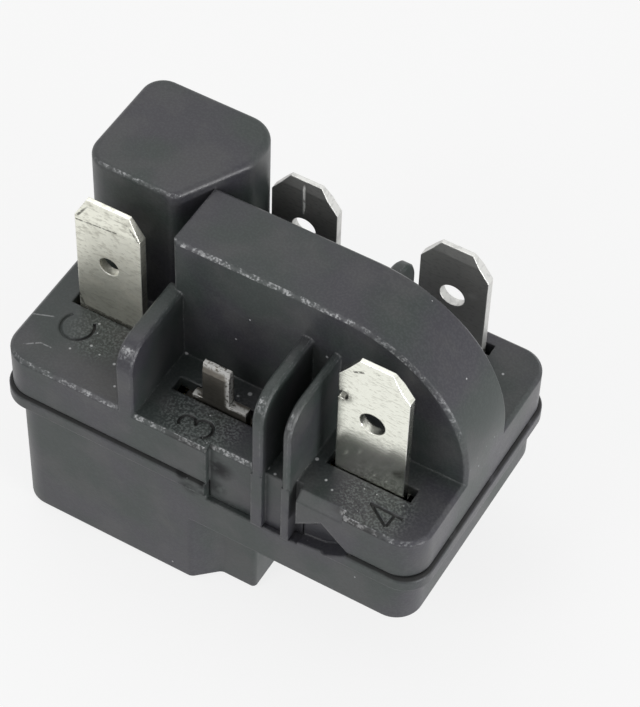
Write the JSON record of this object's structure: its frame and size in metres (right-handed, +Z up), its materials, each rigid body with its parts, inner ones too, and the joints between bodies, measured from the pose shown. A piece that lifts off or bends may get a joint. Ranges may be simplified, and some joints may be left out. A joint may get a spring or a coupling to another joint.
{
  "type": "compressor start relay",
  "caption": "Boxy black compressor start relay with flat quick-connect tabs on top, an arched hump, a corner tower and pin sockets underneath.",
  "frame": {"origin": "middle of the housing's length and depth, on the plane of the socket block's underside", "axes": "+X along the length away from the tower, +Y from the C, 3 and 4 tabs to the back, +Z up along the tabs"},
  "size_m": [0.0406, 0.0238, 0.0342],
  "materials": {
    "housing_plastic": "moulded, satin",
    "tinned_brass": "tin plated, dull",
    "contact_brass": "stamped",
    "spring_steel": "rolled strip",
    "case_steel": "drawn",
    "disc_ceramic": "silvered faces",
    "header_board": "phenolic board",
    "contact_silver": "silver contact"
  },
  "bodies": {
    "root": {"cover": "housing_plastic", "base": "housing_plastic", "terminal_c": "tinned_brass", "terminal_3": "tinned_brass", "terminal_4": "tinned_brass", "terminal_rear_middle": "tinned_brass", "terminal_rear_right": "tinned_brass", "start_link": "contact_brass", "main_link": "contact_brass", "common_receptacle": "contact_brass", "start_receptacle": "contact_brass", "main_receptacle": "contact_brass", "common_spring_ring": "spring_steel", "start_spring_ring": "spring_steel", "main_spring_ring": "spring_steel", "starting_disc": "disc_ceramic", "disc_spring_front": "spring_steel", "disc_spring_rear": "spring_steel", "protector_header": "header_board", "protector_case": "case_steel", "protector_anchor_post": "contact_brass", "protector_fixed_post": "contact_brass", "protector_fixed_contact": "contact_silver", "protector_moving_contact": "contact_silver", "protector_bimetal_blade": "spring_steel"}
  },
  "joints": []
}
